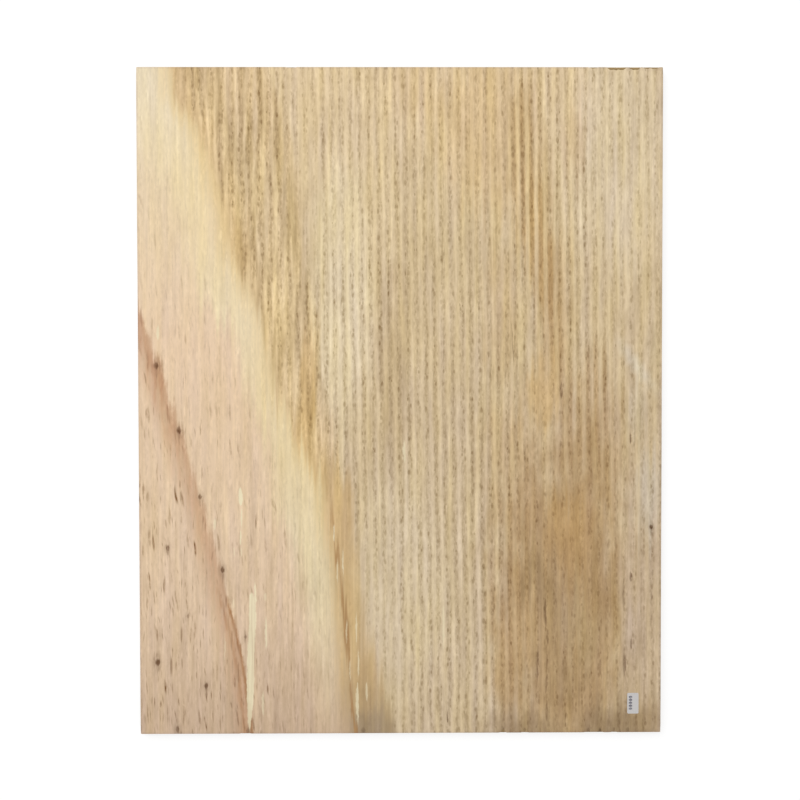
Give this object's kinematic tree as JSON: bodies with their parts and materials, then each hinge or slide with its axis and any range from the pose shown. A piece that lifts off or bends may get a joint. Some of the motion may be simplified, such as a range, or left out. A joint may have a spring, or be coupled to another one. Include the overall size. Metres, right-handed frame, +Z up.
{
  "type": "plywood sheet",
  "caption": "Flat rectangular plywood sheet with a straight-grained face veneer, sawn edges and a small plain paper label; panel stock to cut up, line or shelve with.",
  "frame": {"origin": "middle of the underside, on the surface that the sheet lies on", "axes": "+Z up out of the labelled face, +Y along the face grain towards the end away from the label, +X across the grain towards the label's edge"},
  "size_m": [0.55, 0.7, 0.0121],
  "materials": {
    "plywood": "unsanded rotary-cut veneer, bare and matt, with ribbed grain, small knots and grey handling dirt at the lower end",
    "label_paper": "matt white label paper with a worn row of plain printed ticks"
  },
  "bodies": {
    "root": {"plywood_sheet": "plywood", "price_label": "label_paper"}
  },
  "joints": []
}
